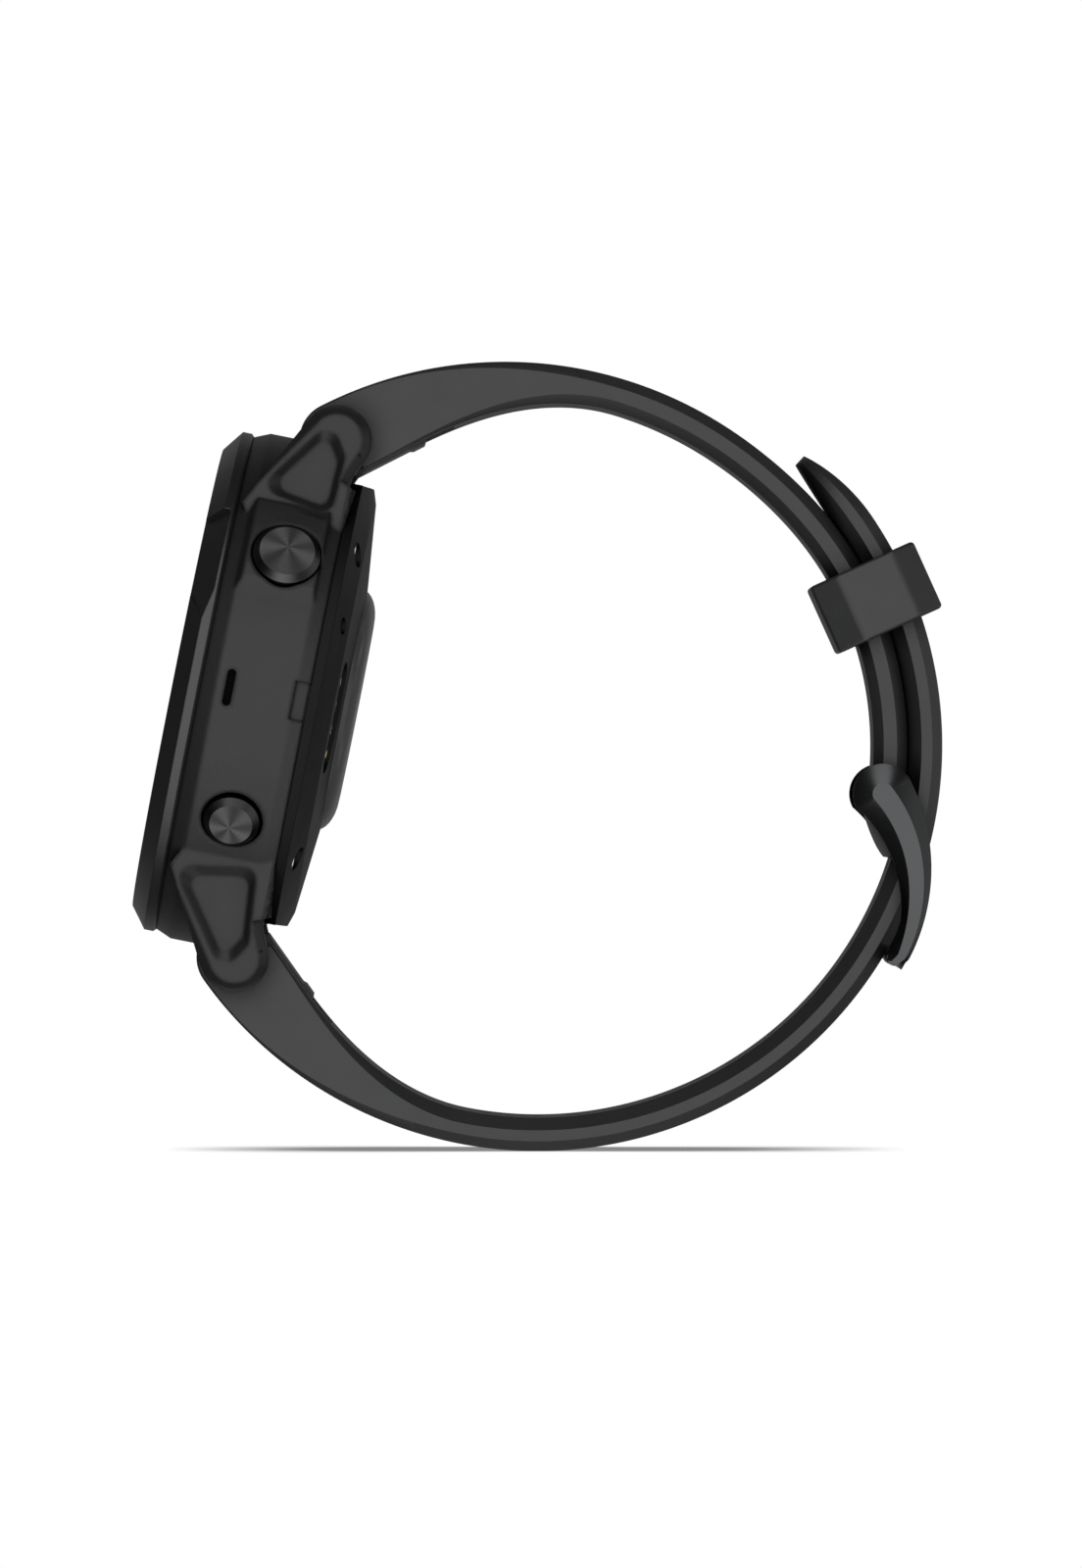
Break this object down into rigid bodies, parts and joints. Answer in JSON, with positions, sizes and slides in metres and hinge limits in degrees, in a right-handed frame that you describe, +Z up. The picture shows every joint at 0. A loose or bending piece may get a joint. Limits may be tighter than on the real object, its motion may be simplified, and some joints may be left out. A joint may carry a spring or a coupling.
{
  "type": "gps running watch",
  "caption": "Round GPS running watch with side keys, optical wrist sensor and a two-piece silicone strap closed in a loop by a pin buckle and a sliding keeper.",
  "frame": {"origin": "centre line of the wrist opening, halfway across the strap", "axes": "+Z up as the watch stands on its strap, display towards -X, +Y along the wrist away from the START key side"},
  "size_m": [0.0659, 0.0427, 0.0641],
  "materials": {
    "case_polymer": "fine matt moulded texture, fibre filled",
    "bezel_polymer": "satin black moulded",
    "rear_polymer": "satin black moulded",
    "lens_glass": "polished, black backed",
    "seal_rubber": "matt",
    "display_panel": "polished panel, off",
    "carrier_polymer": "matt moulded",
    "circuit_board": "solder resist",
    "chip_resin": "moulded resin",
    "switch_metal": "plated",
    "battery_foil": "laminated foil pouch",
    "spring_steel": "bright drawn",
    "rotor_metal": "sintered",
    "screw_steel": "dark plated",
    "sensor_polymer": "smooth, dark tinted",
    "sensor_diodes": "clear resin",
    "contact_gold": "gold plated",
    "vent_fabric": "matt porous",
    "key_metal": "dark spun face",
    "strap_silicone": "matt, soft touch",
    "latch_metal": "satin black",
    "buckle_metal": "satin dark grey"
  },
  "bodies": {
    "watch": {"mid_case": "case_polymer", "bezel": "bezel_polymer", "rear_cover": "rear_polymer", "lens": "lens_glass", "lens_gasket": "seal_rubber", "rear_gasket": "seal_rubber", "stem_seals": "seal_rubber", "display": "display_panel", "display_carrier": "carrier_polymer", "main_board": "circuit_board", "sensor_board": "circuit_board", "board_chips": "chip_resin", "side_switches": "switch_metal", "battery": "battery_foil", "motor_can": "spring_steel", "upper_bar": "spring_steel", "lower_bar": "spring_steel", "start_spring": "spring_steel", "back_spring": "spring_steel", "light_spring": "spring_steel", "up_spring": "spring_steel", "down_spring": "spring_steel", "upper_latch_spring": "spring_steel", "lower_latch_spring": "spring_steel", "rear_screws": "screw_steel", "sensor_lens": "sensor_polymer", "sensor_lights": "sensor_diodes", "charge_contacts": "contact_gold", "vent_membrane": "vent_fabric", "upper_strap": "strap_silicone", "lower_strap": "strap_silicone"},
    "start_key": {"start_button": "key_metal", "start_clip": "spring_steel"},
    "back_key": {"back_button": "key_metal", "back_clip": "spring_steel"},
    "light_key": {"light_button": "key_metal", "light_clip": "spring_steel"},
    "up_key": {"up_button": "key_metal", "up_clip": "spring_steel"},
    "down_key": {"down_button": "key_metal", "down_clip": "spring_steel"},
    "upper_latch_body": {"upper_latch": "latch_metal"},
    "lower_latch_body": {"lower_latch": "latch_metal"},
    "keeper_body": {"keeper": "strap_silicone"},
    "buckle": {"buckle_frame": "buckle_metal", "buckle_pin": "spring_steel"},
    "tongue": {"buckle_tongue": "buckle_metal"},
    "rotor": {"motor_rotor": "rotor_metal"}
  },
  "joints": [
    {"name": "start_press", "type": "slide", "parent": "watch", "child": "start_key", "axis": [-0.1025, 0.8508, -0.5154], "range_m": [0, 0.0007], "stiffness_N_per_m": 1500, "springref_m": -0.0005, "deforming": ["start_spring"]},
    {"name": "back_press", "type": "slide", "parent": "watch", "child": "back_key", "axis": [0.0975, 0.866, 0.4904], "range_m": [0, 0.0007], "stiffness_N_per_m": 1500, "springref_m": -0.0005, "deforming": ["back_spring"]},
    {"name": "light_press", "type": "slide", "parent": "watch", "child": "light_key", "axis": [-0.1025, -0.8508, -0.5154], "range_m": [0, 0.0007], "stiffness_N_per_m": 1500, "springref_m": -0.0005, "deforming": ["light_spring"]},
    {"name": "up_press", "type": "slide", "parent": "watch", "child": "up_key", "axis": [0, -1, 0], "range_m": [0, 0.0007], "stiffness_N_per_m": 1500, "springref_m": -0.0005, "deforming": ["up_spring"]},
    {"name": "down_press", "type": "slide", "parent": "watch", "child": "down_key", "axis": [0.0975, -0.866, 0.4904], "range_m": [0, 0.0007], "stiffness_N_per_m": 1500, "springref_m": -0.0005, "deforming": ["down_spring"]},
    {"name": "upper_release", "type": "slide", "parent": "watch", "child": "upper_latch_body", "axis": [0.891, 0, 0.454], "range_m": [0, 0.0024], "stiffness_N_per_m": 300, "springref_m": -0.002, "deforming": ["upper_latch_spring"]},
    {"name": "lower_release", "type": "slide", "parent": "watch", "child": "lower_latch_body", "axis": [0.5777, 0, -0.8162], "range_m": [0, 0.0024], "stiffness_N_per_m": 300, "springref_m": -0.002, "deforming": ["lower_latch_spring"]},
    {"name": "keeper_slide", "type": "hinge", "parent": "watch", "child": "keeper_body", "pos_m": [-0.007, 0, 0.00017], "axis": [0, -1, 0], "range_deg": [-8, 8]},
    {"name": "buckle_swing", "type": "hinge", "parent": "watch", "child": "buckle", "pos_m": [0.02232, 0, -0.0028], "axis": [0, -1, 0], "range_deg": [0, 4]},
    {"name": "tongue_swing", "type": "hinge", "parent": "watch", "child": "tongue", "pos_m": [0.02232, 0, -0.0028], "axis": [0, -1, 0], "range_deg": [0, 4]},
    {"name": "rotor_spin", "type": "hinge", "parent": "watch", "child": "rotor", "pos_m": [-0.03195, 0, -0.00453], "axis": [-0.9808, 0, 0.1951], "continuous": true}
  ],
  "couplings": [
    {"joint": "tongue_swing", "follows": "buckle_swing", "ratio": 1}
  ]
}
